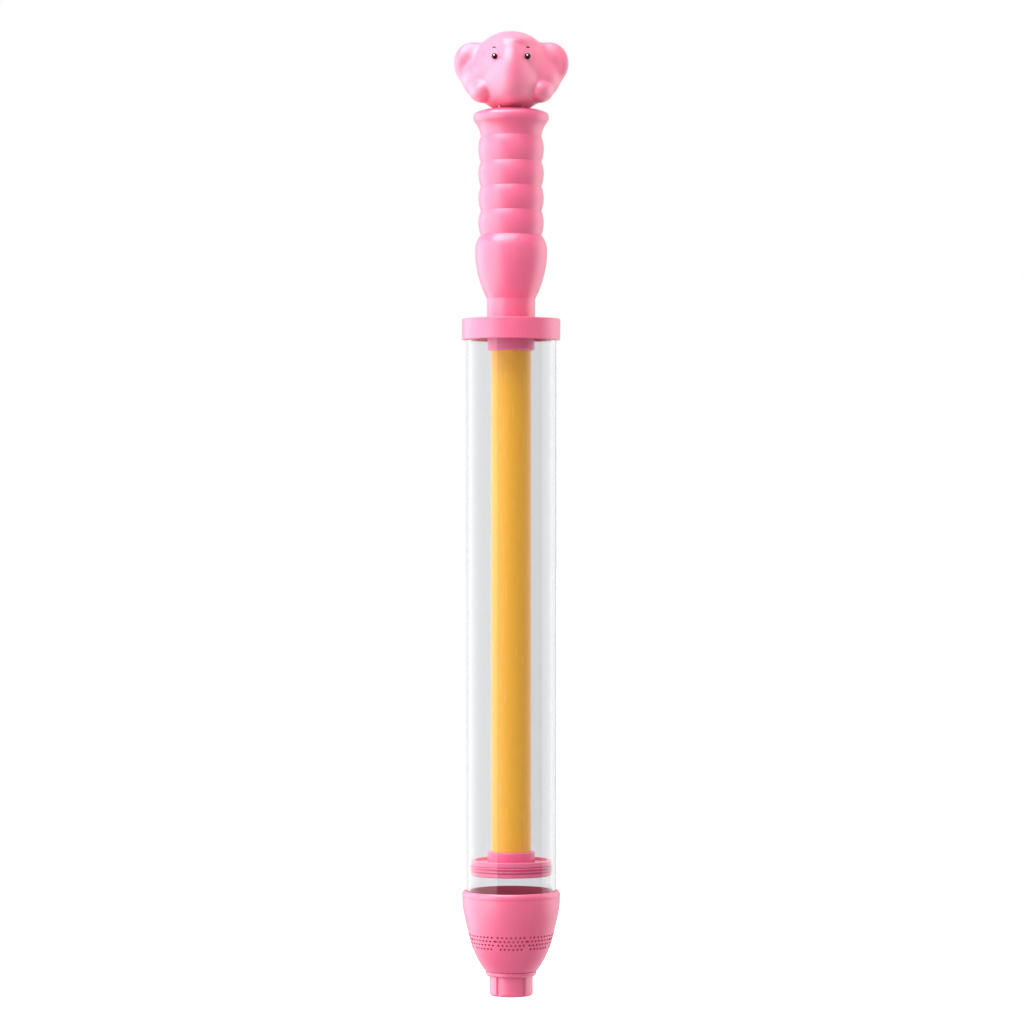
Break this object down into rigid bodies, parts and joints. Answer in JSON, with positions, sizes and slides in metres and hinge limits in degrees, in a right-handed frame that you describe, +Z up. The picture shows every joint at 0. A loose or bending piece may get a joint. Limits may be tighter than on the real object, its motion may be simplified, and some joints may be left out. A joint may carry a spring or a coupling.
{
  "type": "toy water squirter",
  "caption": "Pull-and-push toy water squirter: clear barrel, amber rod, pink bell nozzle with a spray band and turning tip, ribbed grip and an elephant-head knob.",
  "frame": {"origin": "on the barrel's axis, at the foot of the nozzle tip that it stands on", "axes": "+Z up along the barrel from the nozzle to the head; the elephant's face looks towards -Y; +X is to the right of someone facing the face"},
  "size_m": [0.0632, 0.0544, 0.5292],
  "materials": {
    "pink_plastic": "satin moulded pink",
    "clear_plastic": "clear, polished",
    "yellow_plastic": "semi-gloss extruded amber yellow",
    "white_plastic": "plain moulded white, hidden",
    "pink_rubber": "soft magenta rubber",
    "grey_rubber": "soft grey rubber, hidden",
    "steel": "stainless",
    "eye_black": "high gloss black"
  },
  "bodies": {
    "barrel": {"barrel_tube": "clear_plastic", "end_cap": "pink_plastic", "guide_bush": "pink_plastic", "nozzle_cup": "pink_plastic", "nozzle_stem": "pink_plastic", "barrel_seal": "grey_rubber", "valve_plate": "white_plastic", "nozzle_ring": "pink_plastic"},
    "spray_tip": {"nozzle_tip": "pink_plastic", "tip_seal": "grey_rubber"},
    "piston": {"piston_head": "pink_plastic", "piston_seal": "pink_rubber", "piston_plate": "pink_plastic"},
    "plunger": {"piston_screw": "steel", "rod_foot_plug": "white_plastic", "pull_rod": "yellow_plastic", "rod_end_plug": "white_plastic", "plug_pin": "steel", "grip_front": "pink_plastic", "grip_back": "pink_plastic", "head_spigot": "white_plastic", "head_front": "pink_plastic", "head_back": "pink_plastic", "eye_beads": "eye_black"}
  },
  "joints": [
    {"name": "plunger_slide", "type": "slide", "parent": "barrel", "child": "piston", "axis": [0, 0, 1], "range_m": [0, 0.274]},
    {"name": "plunger_turn", "type": "hinge", "parent": "piston", "child": "plunger", "pos_m": [0, 0, 0.0745], "axis": [0, 0, 1], "continuous": true},
    {"name": "tip_turn", "type": "hinge", "parent": "barrel", "child": "spray_tip", "pos_m": [0, 0, 0.006], "axis": [0, 0, 1], "range_deg": [0, 60]}
  ]
}
